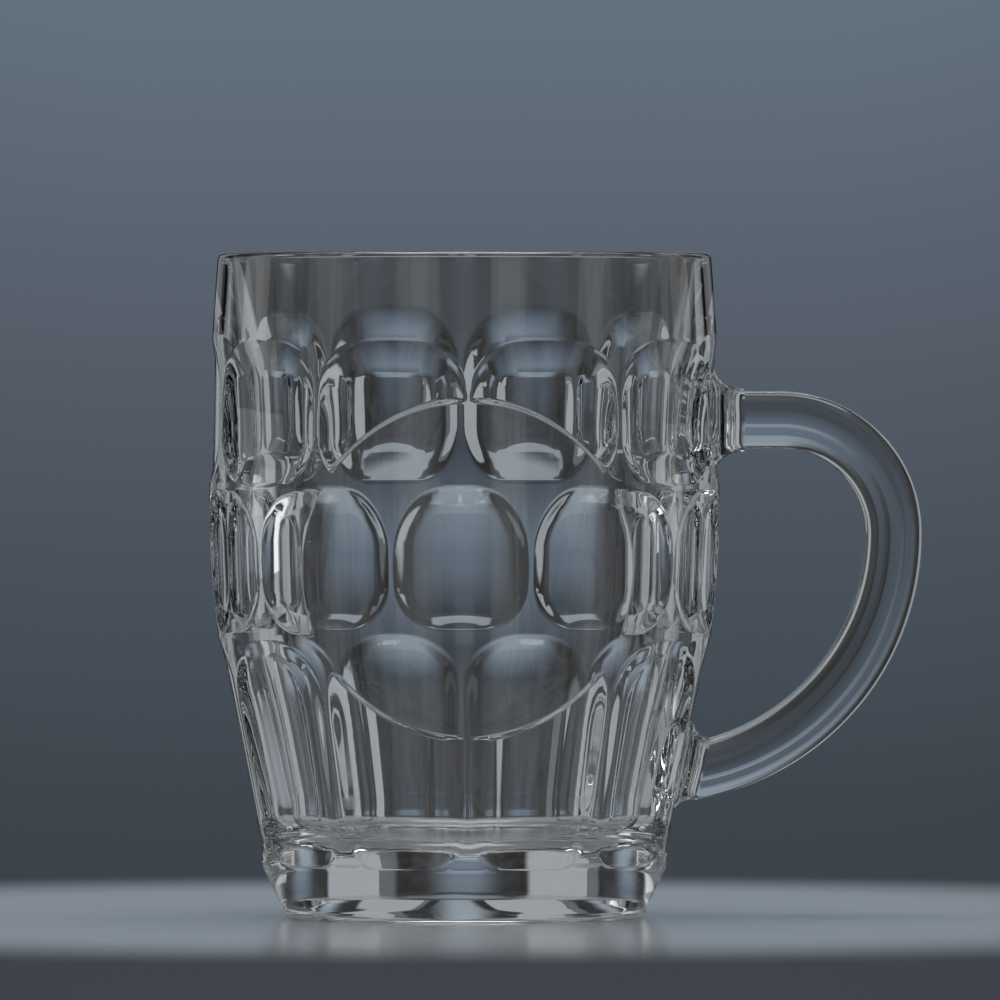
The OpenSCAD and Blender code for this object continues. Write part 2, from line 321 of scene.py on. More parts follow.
def wallDepth(a, z):
    # How deep the pressed pattern lies below the plain wall at angle a and height z
    a, z = np.asarray(a, float), np.asarray(z, float)
    deep = np.zeros(np.broadcast(a, z).shape)
    panelShare = panelInset(a, z) / roundPanel["bevel"]
    wide, high = press["reach"]
    for one in presses:
        u, v, facing = pressLocal(one, a, z)
        near = (facing > 0) & (np.abs(u) < one["halfW"] * wide) & (np.abs(v) < one["halfH"] + high)
        if not near.any():
            continue
        un, vn = u[near], v[near]
        zn = z[near]
        r = outsideR(zn)
        edge, most = edgeShare(one, un, vn)
        edge = edge * softRamp(panelShare[near])
        drop = r - np.sqrt(np.maximum(r ** 2 - un ** 2, 0))
        floor = one["deep"] + un ** 2 / (2 * one["level"]) - drop
        floor = floor - one["lean"] * vn - np.minimum(vn, 0) ** 2 / (2 * one["footHollow"])
        floor = floor - np.maximum(vn - one["headFrom"], 0) ** 2 / (2 * one["headHollow"])
        if one["flute"]:
            lowZ, highZ = press["fluteFootZ"], press["fluteTopZ"]
            lowR, highR = float(outsideR(lowZ)), float(outsideR(highZ))
            chord = lowR + (zn - lowZ) * (highR - lowR) / (highZ - lowZ)
            floor = floor + r - chord
        least = press["leastDeep"]
        floor = least + 0.5 * ((floor - least) + np.sqrt((floor - least) ** 2 + least ** 2))
        bend = press["facetRound"] * (most < beyond)
        floor = 0.5 * (floor + most - np.sqrt((floor - most) ** 2 + bend ** 2))
        deep[near] = np.maximum(deep[near], floor * edge)
    return deep


def wallRadius(a, z):
    return outsideR(z) - wallDepth(a, z)


def wallPoint(a, z):
    # Place on the pressed outside, in millimetres
    r, t = wallRadius(a, z), np.radians(a)
    return np.stack([r * np.sin(t), -r * np.cos(t), np.asarray(z, float)], -1)


def wallNormal(a, z):
    # Outward direction of the pressed outside
    step = meshSteps["slope"]
    turn = np.degrees(step / tumbler["bellyR"])
    r, t = wallRadius(a, z), np.radians(a)
    slopeA = (wallRadius(a + turn, z) - wallRadius(a - turn, z)) / (2 * np.radians(turn)) / r
    slopeZ = (wallRadius(a, z + step) - wallRadius(a, z - step)) / (2 * step)
    radial = np.stack([np.sin(t), -np.cos(t), -slopeZ], -1)
    around = np.stack([np.cos(t), np.sin(t), np.zeros_like(t)], -1)
    n = radial - around * slopeA[:, None]
    return n / np.linalg.norm(n, axis=1)[:, None]


def roundedOutline(one, share):
    # A press's outline moved inwards by a share of its bevel, as (angle, z) points from its top
    pts = []
    hw, hh = one["halfW"], one["halfH"]
    top, foot = one["headCorner"], one["footCorner"]
    gap = meshSteps["alongEdge"]

    def straight(p, q, nx):
        n = max(1, round(math.dist(p, q) / gap))
        for k in range(n):
            s = k / n
            pts.append((p[0] + (q[0] - p[0]) * s, p[1] + (q[1] - p[1]) * s, nx))

    def corner(cx, cz, r, fromA):
        n = max(3, round(r * math.pi / 2 / gap))
        for k in range(n):
            a = math.radians(fromA - 90 * k / n)
            pts.append((cx + r * math.cos(a), cz + r * math.sin(a), (math.cos(a), math.sin(a))))

    straight((0, hh), (hw - top, hh), (0, 1))
    corner(hw - top, hh - top, top, 90)
    straight((hw, hh - top), (hw, foot - hh), (1, 0))
    corner(hw - foot, foot - hh, foot, 0)
    straight((hw - foot, -hh), (0, -hh), (0, -1))
    straight((0, -hh), (foot - hw, -hh), (0, -1))
    corner(foot - hw, foot - hh, foot, -90)
    straight((-hw, foot - hh), (-hw, hh - top), (-1, 0))
    corner(top - hw, hh - top, top, 180)
    straight((top - hw, hh), (0, hh), (0, 1))
    p = np.array([(x, z) for x, z, n in pts])
    n = np.array([n for x, z, n in pts], float)
    p = p - n * (share * easeWidth(one, np.abs(n[:, 0]), n[:, 1] < 0))[:, None]
    z = p[:, 1] + one["z"]
    return np.stack([one["a"] + angleAt(p[:, 0] * windowFit(one, z), z), z], 1)


def clipped(points, keep):
    # The stretches of a polyline where keep(points) is above 0, with their ends moved onto the limit
    value = keep(points)
    runs, run = [], []
    for i, point in enumerate(points):
        if i and (value[i] < 0) != (value[i - 1] < 0):
            s = value[i - 1] / (value[i - 1] - value[i])
            run.append(points[i - 1] + (point - points[i - 1]) * s)
        if value[i] >= 0:
            run.append(point)
        elif run:
            runs.append(run)
            run = []
    if run:
        runs.append(run)
    return [np.array(r) for r in runs if len(r) > 1]


def facetLines(one):
    # The straight lines on both sides of a foot facet's upper edge
    lines = []
    for off in facetSides:
        v = one["footEase"] - one["halfH"] + off
        u = np.linspace(-1, 1, meshSteps["facet"]) * (one["halfW"] - press["sideEase"])
        z = np.full_like(u, one["z"] + v)
        lines.append(np.stack([one["a"] + angleAt(u * windowFit(one, z), z), z], 1))
    return lines


def featureLines():
    # Every line of points that the pressed wall's faces follow, as (angle, z) polylines
    lines = []
    for one in presses:
        rings = [roundedOutline(one, share) for share in easeRings]
        rings = [np.concatenate([ring, ring[:1]]) for ring in rings]
        for ring in rings + (facetLines(one) if one["facet"] else []):
            lines += clipped(ring, lambda p: panelInset(p[:, 0], p[:, 1])) if nearPanel(one) else [ring]
    return lines


def panelLines():
    # Rings round the panel's edge, only where a dimple or flute meets it
    lines = []
    for share in panelRings:
        r = roundPanel["r"] + share * roundPanel["bevel"]
        n = round(2 * math.pi * r / meshSteps["alongEdge"])
        turn = 2 * math.pi * np.arange(n + 1) / n
        z = roundPanel["z"] + r * np.sin(turn)
        ring = np.stack([angleAt(r * np.cos(turn), z), z], 1)
        for one in filter(nearPanel, presses):
            lines += clipped(ring, lambda p: windowInset(one, *pressLocal(one, p[:, 0], p[:, 1])[:2]))
    return lines


handleBar = {
    "thick": 10.9,            # from the outer face to the inner one
    "wide": 13.0,
    "bandW": 2.4,             # raised band along the middle of each side
    "bandShift": 0.38,
    "bandStep": (0.5, 0.075),  # width and drop of the slope beside the band
    "shoulderDrop": 0.02,     # how far the shoulders beside it fall away
    "outerEdge": (1.85, 0.37, 0.8),    # width, drop and corner radius of the edges
    "innerEdge": (2.4, 0.40, 1.4),
    "edgeRound": 2.0,
    "edgeCrown": 0.12,        # how far the inner and outer faces bulge
    "crownRound": 9.0,
    "creaseRound": 0.2,
    "upperBendR": 21.7,
    "lowerBendR": 46.2,
    "bendZ": 73.4,
    "upperRun": 7.0,          # straight stretch before the upper bend
    "startX": 53.5,
    "cornerSteps": (2, 8, 4, 2, 2),    # round each corner of the section, from crown to band
    "runSteps": 5,
    "upperSteps": 48,         # along each bend
    "lowerSteps": 88,
}
handlePads = {
    "upperT": 4.6,
    "lowerT": 3.0,
    "upperFlare": 4.9,        # how far a pad spreads beyond the bar at the wall
    "lowerFlare": 3.0,
    "upperFillet": 6.0,
    "lowerFillet": 4.0,
    "proud": 0.06,            # a pad stands this much proud of the bar
    "around": 72,
    "rings": 10,
    "barRings": 4,
    "wallRings": 6,
    "fitSteps": 40,           # rounds of fitting a pad's outline to the wall
}

taperLean = math.atan2(
    tumbler["taperTopR"] - tumbler["creaseR"],
    tumbler["taperTopZ"] - tumbler["creaseZ"],
)
upperBendX = handleBar["startX"] + handleBar["upperRun"]
lowerBendX = upperBendX + handleBar["upperBendR"] - handleBar["lowerBendR"]
upperBarZ = handleBar["bendZ"] + handleBar["upperBendR"]
padOut = Vector((math.cos(taperLean), 0, -math.sin(taperLean)))
endOff = (
    handlePads["lowerT"]
    + math.cos(taperLean) * (tumbler["creaseR"] - lowerBendX)
    + math.sin(taperLean) * (handleBar["bendZ"] - tumbler["creaseZ"])
)
lowerEndA = taperLean + math.acos(endOff / handleBar["lowerBendR"])
lowerEnd = Vector((
    lowerBendX + handleBar["lowerBendR"] * math.cos(lowerEndA),
    0,
    handleBar["bendZ"] - handleBar["lowerBendR"] * math.sin(lowerEndA),
))


def barSection():
    # A raised band on each side, shoulders beside it, and rounded inner and outer edges
    h = handleBar
    stepW, stepDrop = h["bandStep"]
    side, edge = h["wide"] / 2, h["thick"] / 2
    shoulder = side - stepDrop - h["shoulderDrop"]
    upper = []
    for sign, key in ((1, "outerEdge"), (-1, "innerEdge")):
        run, drop, cornerRound = h[key]
        band = sign * h["bandShift"] + h["bandW"] / 2
        half = [
            (edge, 0, h["crownRound"]), (edge - h["edgeCrown"], shoulder - drop, cornerRound),
            (edge - run, shoulder, h["edgeRound"]), (band + stepW, side - stepDrop, h["creaseRound"]),
            (band, side, h["creaseRound"]),
        ]
        upper += [(sign * x, y, r, n) for (x, y, r), n in zip(half, h["cornerSteps"])][::sign]
    corners = upper + [(x, -y, r, n) for x, y, r, n in upper[-2:0:-1]]
    out = []
    n = len(corners)
    for i, (x, y, r, steps) in enumerate(corners):
        here = Vector((x, y))
        u = (Vector(corners[i - 1][:2]) - here).normalized()
        v = (Vector(corners[(i + 1) % n][:2]) - here).normalized()
        half = math.acos(max(-1, u.dot(v))) / 2
        centre = here + (u + v).normalized() * (r / math.sin(half))
        first = here + u * (r / math.tan(half)) - centre
        sign = 1 if u.x * v.y - u.y * v.x < 0 else -1
        for j in range(steps + 1):
            turn = sign * (math.pi - 2 * half) * j / steps
            c, s = math.cos(turn), math.sin(turn)
            out.append(centre + Vector((first.x * c - first.y * s, first.x * s + first.y * c)))
    return out


def sectionRadius(turn):
    # Distance from the bar's middle to its surface; turn is measured from +y towards the outer edge
    points = np.array([(p.y, p.x) for p in barSection()])
    angles = np.arctan2(points[:, 1], points[:, 0])
    order = np.argsort(angles)
    return np.interp(turn, angles[order], np.hypot(*points[order].T), period=2 * math.pi)


def padFlare(which, along):
    # How far a pad has spread at a distance from the bar's end towards the wall
    fillet, spread = handlePads[which + "Fillet"], handlePads[which + "Flare"]
    flare = math.acos(1 - spread / fillet)
    s = np.clip(np.asarray(along, float) / fillet, 0, math.sin(flare))
    return handlePads["proud"] + fillet * (1 - np.sqrt(1 - s ** 2))


padPlaces = {
    "upper": (Vector((handleBar["startX"], 0, upperBarZ)), Vector((-1, 0, 0))),
    "lower": (lowerEnd, -padOut),
}


def padRing(which, r, along):
    # Points round a pad at radius r, at a distance from the bar's end towards the wall
    origin, inward = (np.array(v) for v in padPlaces[which])
    level = np.array([0, 1.0, 0])
    across = np.outer(r * np.cos(padTurn), level)
    return origin + np.outer(along, inward) + across + np.outer(r * np.sin(padTurn), np.cross(inward, level))


def padOutline(which):
    # Where a pad's flare meets the pressed wall: its angles and heights, and its lengths along the pad
    along = np.full(handlePads["around"], handlePads[which + "T"])
    for _ in range(handlePads["fitSteps"]):
        p = padRing(which, sectionRadius(padTurn) + padFlare(which, along), along)
        a = np.degrees(np.arctan2(p[:, 0], -p[:, 1]))
        along = along + (np.hypot(p[:, 0], p[:, 1]) - wallRadius(a, p[:, 2]))
    return a, p[:, 2], along


padTurn = 2 * math.pi * np.arange(handlePads["around"]) / handlePads["around"]
padFeet = {which: padOutline(which) for which in padPlaces}


def ringFaces(start, steps, rows):
    # Faces between rows of points, each row a closed ring
    faces = []
    for first in range(start, start + (rows - 1) * steps, steps):
        for i in range(steps):
            a, b = first + i, first + (i + 1) % steps
            faces.append((a, b, b + steps, a + steps))
    return faces


def fanFaces(start, steps, tip):
    return [(start + i, start + (i + 1) % steps, tip) for i in range(steps)]


def nearby(cells, x, z):
    # What lies in a cell and in those round it
    return [one for i in (-1, 0, 1) for j in (-1, 0, 1) for one in cells.get((x + i, z + j), ())]


def pressedPatch(name, fromA, toA, borders, lines, feet):
    # One stretch of the pressed wall, its faces lined up with every outline that is pressed in it
    scale = math.radians(1) * tumbler["bellyR"]
    lowZ, highZ = tumbler["creaseZ"], tumbler["rimZ"]
    points, edges, cells = [], [], {}
    weld = meshSteps["weld"]

    def add(a, z):
        x = a * scale
        cell = (round(x / weld), round(z / weld))
        for k in nearby(cells, *cell):
            if math.hypot(points[k][0] - x, points[k][1] - z) < weld:
                return k
        points.append((x, z))
        cells.setdefault(cell, []).append(len(points) - 1)
        return len(points) - 1

    def chain(line):
        last = None
        for a, z in line:
            k = add(a, z)
            if last is not None and last != k:
                edges.append((last, k))
            last = k

    def within(p):
        return np.minimum(p[:, 0] - fromA, toA - p[:, 0])

    perDegree = turnSteps["round"] / 360
    columns = round((toA - fromA) * perDegree)
    for z in (lowZ, highZ):
        chain([(fromA + i / perDegree, z) for i in range(columns + 1)])
    for a in (fromA, toA):
        chain([(a, z) for z in borders])
    for line in lines:
        for turn in (-360, 0, 360):
            for run in clipped(line + np.array([turn, 0]), within):
                chain(run)
    for ring in feet:
        chain(np.concatenate([ring, ring[:1]]))

    # a honeycomb of points fills what the lines leave open
    grid, clear = meshSteps["grid"], meshSteps["grid"] * meshSteps["clear"]
    rows = int((highZ - lowZ) / (grid * math.sqrt(3) / 2))
    count = int((toA - fromA) * scale / grid)
    taken = {}
    for x, z in points:
        taken.setdefault((int(x // clear), int(z // clear)), []).append((x, z))

    def crowded(x, z):
        near = nearby(taken, int(x // clear), int(z // clear))
        return any(math.hypot(x - px, z - pz) < clear for px, pz in near)

    for j in range(1, rows):
        z = lowZ + (highZ - lowZ) * j / rows
        for i in range(count + 1):
            x = fromA * scale + (i + 0.5 * (j % 2)) * (toA - fromA) * scale / count
            if fromA * scale + clear <= x <= toA * scale - clear and not crowded(x, z):
                points.append((x, z))

    made = delaunay_2d_cdt([Vector(p) for p in points], edges, [], 0, tiny)
    flat = np.array([tuple(v) for v in made[0]])
    verts = wallPoint(flat[:, 0] / scale, flat[:, 1]) * mm
    piece = addMesh(name, verts, [tuple(f) for f in made[2] if len(f) == 3])
    mesh = piece.data
    facing = np.array([f.normal for f in mesh.polygons])
    middle = np.array([f.center for f in mesh.polygons])
    if np.sum(facing[:, :2] * middle[:, :2]) < 0:
        mesh.flip_normals()
    middleX = np.degrees(np.arctan2(middle[:, 0], -middle[:, 1])) * scale
    flags = np.zeros(len(middle), bool)
    for ring in feet:
        flags |= insideRing(middleX, middle[:, 2] / mm, ring * np.array([scale, 1.0]))
    mesh.attributes.new("fusedFace", "BOOLEAN", "FACE").data.foreach_set("value", flags)
    return piece


def insideRing(x, y, ring):
    # True for each point inside a closed ring
    inside = np.zeros(len(x), bool)
    for (x0, y0), (x1, y1) in zip(ring, np.roll(ring, -1, 0)):
        if y0 != y1:
            inside ^= ((y0 > y) != (y1 > y)) & (x < (x1 - x0) * (y - y0) / (y1 - y0) + x0)
    return inside


def drafted(start, end, endDraft, steps):
    # Points of the cavity's wall from start to end, both (radius, height), with its slopes set at both
    (r, fromZ), (toR, toZ), draft = start, end, tumbler["cavityDraft"]
    span = toZ - fromZ
    cube = ((endDraft + draft) * span - 2 * (toR - r)) / span ** 3
    square = (toR - r - draft * span) / span ** 2 - cube * span
    heights = np.linspace(0, span, steps + 1)
    return [(r + draft * z + square * z * z + cube * z ** 3, fromZ + z) for z in heights]


def arcPoints(cx, cz, r, fromA, toA, steps):
    turns = np.radians(np.linspace(fromA, toA, steps + 1))
    return [(cx + r * math.cos(a), cz + r * math.sin(a)) for a in turns]


def linePoints(start, end, steps):
    (r, z), (toR, toZ) = start, end
    return [(r + (toR - r) * s, z + (toZ - z) * s) for s in np.linspace(0, 1, steps + 1)]


def turnedProfile():
    # The rest of the tumbler's outline: over the rim to the floor, and from the crease round the foot
    t, steps = tumbler, turnSteps
    half = t["rimWall"] / 2
    roundZ = t["floorT"] + t["floorRound"]
    floorR = t["creaseR"] - t["floorWall"]
    lastR = floorR - t["floorRound"]
    standR = t["footR"] - t["footEdge"]
    belly = (t["bellyR"] - t["bellyWall"], (t["bellyLowZ"] + t["bellyHighZ"]) / 2)
    underRim = (t["rimR"] - t["rimWall"], t["rimZ"])
    taperTop = (t["taperTopR"] - t["taperWall"], t["taperTopZ"])
    inner = (
        arcPoints(t["rimR"] - half, t["rimZ"], half, 0, 180, steps["rim"])
        + drafted(belly, underRim, t["rimSlope"], steps["rimWall"])[-2::-1]
        + drafted(belly, taperTop, t["taperSlope"], steps["bellyWall"])[1:]
        + linePoints(taperTop, (floorR, roundZ), steps["taperWall"])[1:]
        + arcPoints(lastR, roundZ, t["floorRound"], 0, -90, steps["floorRound"])[1:]
        + linePoints((lastR, t["floorT"]), (0, t["floorT"]), steps["floor"])[1:]
    )
    hollow = [
        (t["hollowR"] * (1 - s), t["hollowDeep"] * (1 - (1 - s) ** 2) ** t["hollowBend"])
        for s in np.linspace(0, 1, steps["floor"] + 1)[1:]
    ]
    outer = (
        linePoints((t["creaseR"], t["creaseZ"]), (t["footR"], t["footEdge"]), steps["foot"])
        + arcPoints(standR, t["footEdge"], t["footEdge"], 0, -90, steps["footEdge"])[1:]
        + linePoints((standR, 0), (t["hollowR"], 0), steps["stand"])[1:]
        + hollow
    )
    return inner, outer


def profileNormals(points, outward):
    # Directions square to an outline, in (radius, z)
    p = np.array(points)
    d = np.gradient(p, axis=0)
    n = np.stack([d[:, 1], -d[:, 0]], 1) * outward
    n = n / np.maximum(np.linalg.norm(n, axis=1), tiny)[:, None]
    n[-1] = (0, math.copysign(1, n[-1][1]))
    return n


def turnedShell():
    # Rim, cavity, foot and underside, turned round the axis and closed at both poles
    steps = turnSteps["round"]
    verts, faces = [], []
    for outline, winding in zip(turnedProfile(), (1, -1)):
        start, rows = len(verts), len(outline) - 1
        for r, z in outline[:-1]:
            for t in 2 * math.pi * np.arange(steps) / steps:
                verts.append((r * math.sin(t) * mm, -r * math.cos(t) * mm, z * mm))
        made = ringFaces(start, steps, rows) + fanFaces(start + (rows - 1) * steps, steps, len(verts))
        faces += [(f[0], *f[1:][::winding]) for f in made]
        verts.append((0, 0, outline[-1][1] * mm))
    piece = addMesh("turnedShell", verts, faces)
    piece.data.attributes.new("fusedFace", "BOOLEAN", "FACE")
    return piece


def borderHeights():
    # Heights of the points on every edge between two stretches of wall, shared so that they join
    heights = {tumbler["creaseZ"], tumbler["rimZ"]}
    one = next(one for one in presses if one["a"] % pitch == 0)
    for share in easeRings:
        heights |= {float(z) for a, z in roundedOutline(one, share) if abs(a - one["a"]) < tiny}
    heights |= {float(line[0, 1]) for line in facetLines(one)}
    fixed = sorted(heights)
    out = []
    for low, high in zip(fixed, fixed[1:]):
        n = max(1, round((high - low) / meshSteps["alongEdge"]))
        out += [low + (high - low) * k / n for k in range(n)]
    return out + [fixed[-1]]


def setInputs(modifier, values):
    # Gives a modifier its inputs by the identifiers of the sockets
    for item in modifier.node_group.interface.items_tree:
        if item.item_type == "SOCKET" and item.in_out == "INPUT" and item.name in values:
            modifier[item.identifier] = values[item.name]


def joinedWallTree():
    # Places the pressed stretches round the turned shell and joins them into one skin
    tree, given, result = addGroup("pressedWall", "GeometryNodeTree", {
        "Geometry": "Geometry", "Front": "Object", "Handle Side": "Object", "Far Side": "Object",
        "Back Column": "Object", "Back Columns": "Int", "Pitch": "Float", "Weld": "Float",
        "Glass": "Material", "Fused": "Material",
    }, {"Geometry": "Geometry"})
    tree.is_modifier = True
    line = addNode(tree, "GeometryNodeMeshLine", {"Count": given["Back Columns"], "Offset": (0, 0, 0)},
                   mode="OFFSET")
    index = addNode(tree, "GeometryNodeInputIndex")
    turn = reckon(tree, "MULTIPLY", index.outputs[0], given["Pitch"])
    spin = addNode(tree, "ShaderNodeCombineXYZ", {"Z": turn})
    column = addNode(tree, "GeometryNodeObjectInfo", {"Object": given["Back Column"]})
    place = addNode(tree, "GeometryNodeInstanceOnPoints", {
        "Points": line.outputs["Mesh"], "Instance": column.outputs["Geometry"], "Rotation": spin.outputs[0],
    })
    join = addNode(tree, "GeometryNodeJoinGeometry", {0: given["Geometry"]})
    tree.links.new(place.outputs[0], join.inputs[0])
    for side in ("Front", "Handle Side", "Far Side"):
        info = addNode(tree, "GeometryNodeObjectInfo", {"Object": given[side]})
        tree.links.new(info.outputs["Geometry"], join.inputs[0])
    real = addNode(tree, "GeometryNodeRealizeInstances", {0: join.outputs[0]})
    merge = addNode(tree, "GeometryNodeMergeByDistance", {
        "Geometry": real.outputs[0], "Distance": given["Weld"],
    })
    flag = addNode(tree, "GeometryNodeInputNamedAttribute", {"Name": "fusedFace"}, data_type="BOOLEAN")
    glass = addNode(tree, "GeometryNodeSetMaterial", {
        "Geometry": merge.outputs[0], "Material": given["Glass"],
    })
    fused = addNode(tree, "GeometryNodeSetMaterial", {
        "Geometry": glass.outputs[0], "Selection": flag.outputs["Attribute"], "Material": given["Fused"],
    })
    tree.links.new(fused.outputs[0], result[0])
    return tree


def baked(piece, name):
    # A plain mesh of what a piece's modifiers make
    graph = bpy.context.evaluated_depsgraph_get()
    shaped = piece.evaluated_get(graph)
    mesh = bpy.data.meshes.new_from_object(shaped, preserve_all_data_layers=True, depsgraph=graph)
    mesh.name = name
    return addObject(name, mesh)


def setTumblerNormals(piece):
    # Gives the glass the true directions of its surfaces, so that it bends light as a solid would
    mesh = piece.data
    count = len(mesh.vertices)
    co = np.zeros(count * 3)
    mesh.vertices.foreach_get("co", co)
    co = co.reshape(-1, 3) / mm
    a = np.degrees(np.arctan2(co[:, 0], -co[:, 1]))
    r, z = np.hypot(co[:, 0], co[:, 1]), co[:, 2]
    inner, outer = turnedProfile()
    profile = np.array(inner + outer)
    square = np.concatenate([profileNormals(inner, 1), profileNormals(outer, -1)])
    square[0] = (1, 0)
    t = tumbler
    wallHere = np.interp(z, [t["creaseZ"], t["taperTopZ"], t["bellyLowZ"], t["rimZ"]],
                         [t["floorWall"], t["taperWall"], t["bellyWall"], t["rimWall"]])
    gap = meshSteps["join"] / 2
    onWall = (z > t["creaseZ"] + gap) & (z < t["rimZ"] - gap) & (r > outsideR(z) - wallHere / 2)
    normals = np.zeros((count, 3))
    normals[onWall] = wallNormal(a[onWall], z[onWall])
    chunks = 40               # keeps each table of distances small
    for part in np.array_split(np.flatnonzero(~onWall), chunks):
        off = (r[part, None] - profile[:, 0]) ** 2 + (z[part, None] - profile[:, 1]) ** 2
        n = square[np.argmin(off, 1)]
        around = np.radians(a[part])
        normals[part] = np.stack([n[:, 0] * np.sin(around), -n[:, 0] * np.cos(around), n[:, 1]], 1)
    mesh.polygons.foreach_set("use_smooth", np.ones(len(mesh.polygons), bool))
    mesh.normals_split_custom_set_from_vertices([tuple(v) for v in normals])


# Stretches of the pressed wall, from and to in dimples round from the front, and the handle's angle
wallParts = {"frontWall": (-2, 2), "handleSideWall": (2, 3), "farSideWall": (7, 8), "backColumn": (3, 4)}
handleA = 90


def makeTumbler(glass, fused):
    borders, lines = borderHeights(), featureLines() + panelLines()
    feet = [np.stack([a, z], 1) for a, z, along in padFeet.values()]
    patches = []
    for name, (start, end) in wallParts.items():
        a, b = start * pitch, end * pitch
        patches.append(pressedPatch(name, a, b, borders, lines, feet if a < handleA < b else []))
    front, handleSide, farSide, backColumn = patches
    shell = turnedShell()
    print("pressed wall:", {part.name: len(part.data.polygons) for part in patches})
    modifier = shell.modifiers.new("pressedWall", "NODES")
    modifier.node_group = joinedWallTree()
    setInputs(modifier, {
        "Front": front, "Handle Side": handleSide, "Far Side": farSide, "Back Column": backColumn,
        "Back Columns": 4, "Pitch": math.radians(pitch), "Weld": meshSteps["join"] * mm,
        "Glass": glass, "Fused": fused,
    })
    body = baked(shell, "glassTumbler")
    for part in (shell, *patches):
        bpy.data.meshes.remove(part.data)
    setTumblerNormals(body)
    return body


def makeHandle(glass, fused):
    # Sweeps the section round the handle's bends, with the lower end trimmed to the pad's slope
    h, section = handleBar, barSection()
    verts, n = [], len(section)

    def addRow(places):
        verts.extend((x * mm, p.y * mm, z * mm) for p, (x, z) in zip(section, places))

    def bent(centreX, r, a):
        return centreX + r * math.cos(a), h["bendZ"] + r * math.sin(a)

    for s in np.linspace(0, 1, h["runSteps"] + 1)[:-1]:
        addRow([(h["startX"] + h["upperRun"] * s, upperBarZ + p.x) for p in section])
    for a in np.radians(np.linspace(90, 0, h["upperSteps"] + 1)[:-1]):
        addRow([bent(upperBendX, h["upperBendR"] + p.x, a) for p in section])
    off = (lowerEnd - Vector((lowerBendX, 0, h["bendZ"]))).dot(padOut)
    ends = [-taperLean - math.acos(off / (h["lowerBendR"] + p.x)) for p in section]
    for s in np.linspace(0, 1, h["lowerSteps"] + 1):
        addRow([bent(lowerBendX, h["lowerBendR"] + p.x, end * s) for p, end in zip(section, ends)])
    faces = ringFaces(0, n, len(verts) // n)
    faces += [tuple(range(n))[::-1], tuple(range(len(verts) - n, len(verts)))]
    piece = addMesh("glassHandle", verts, faces)
    finishClosed(piece, glass, fused, lambda f: len(f.verts) > 4)
    return piece


def finishClosed(piece, glass, fused, isFused):
    # Turns a closed mesh's faces outwards, smooths its sides and marks its fused ends
    bm = bmesh.new()
    bm.from_mesh(piece.data)
    bmesh.ops.recalc_face_normals(bm, faces=bm.faces[:])
    for f in bm.faces:
        f.smooth = True
        f.material_index = 1 if isFused(f) else 0
    for e in bm.edges:
        e.smooth = len({f.material_index for f in e.link_faces}) == 1
    bm.to_mesh(piece.data)
    bm.free()
    piece.data.materials.append(glass)
    piece.data.materials.append(fused)


def makePad(which, name, glass, fused):
    # A flared block between bar and wall: flat at the bar, and shaped to the pressed wall behind
    pads, steps = handlePads, handlePads["around"]
    footA, footZ, along = padFeet[which]
    bar = sectionRadius(padTurn)
    rows = []
    for s in np.linspace(0, 1, pads["barRings"] + 1)[1:]:
        rows.append(padRing(which, (bar + pads["proud"]) * s, 0))
    for s in np.linspace(0, 1, pads["rings"] + 1)[1:]:
        rows.append(padRing(which, bar + padFlare(which, along * s), along * s))
    centreA, centreZ = handleA, np.mean(footZ)
    for s in np.linspace(1, 0, pads["wallRings"] + 1)[1:-1]:
        rows.append(wallPoint(centreA + (footA - centreA) * s, centreZ + (footZ - centreZ) * s))
    first, last = np.array([padPlaces[which][0]]), wallPoint(np.array([centreA]), np.array([centreZ]))
    verts = np.concatenate([first, *rows, last]) * mm
    faces = [f[::-1] for f in fanFaces(1, steps, 0)] + ringFaces(1, steps, len(rows))
    faces += fanFaces(1 + (len(rows) - 1) * steps, steps, len(verts) - 1)
    barEnd = 1 + pads["barRings"] * steps
    wallStart = barEnd + (pads["rings"] - 1) * steps

    def isFused(face):
        ids = [v.index for v in face.verts]
        return max(ids) < barEnd or min(ids) >= wallStart

    piece = addMesh(name, verts, faces)
    finishClosed(piece, glass, fused, isFused)
    return piece


# Ripples in noise cells to a metre and in millimetres, their scale along the axis, and the roughness of
# clear and of handled glass
glassLook = {
    "tumbler": {"tint": (0.985, 0.99, 0.99), "ior": 1.52, "Ripple Scale": 45.0, "Ripple Height": 0.05,
                "Upright Stretch": 0.3, "Clear Roughness": 0.0, "Mark Roughness": 0.02},
    "handle": {"tint": (0.985, 0.99, 0.99), "ior": 1.52, "Ripple Scale": 70.0, "Ripple Height": 0.05,
               "Upright Stretch": 0.8, "Clear Roughness": 0.0, "Mark Roughness": 0.04},
}
surfaceInputs = ("Ripple Scale", "Ripple Height", "Upright Stretch", "Clear Roughness", "Mark Roughness")
rippleNoise = {"Detail": 1.5, "Roughness": 0.4}
markNoise = {"Scale": 90, "Detail": 5}
markFrom, markFull = 0.55, 0.8    # noise at which marks begin, and are full


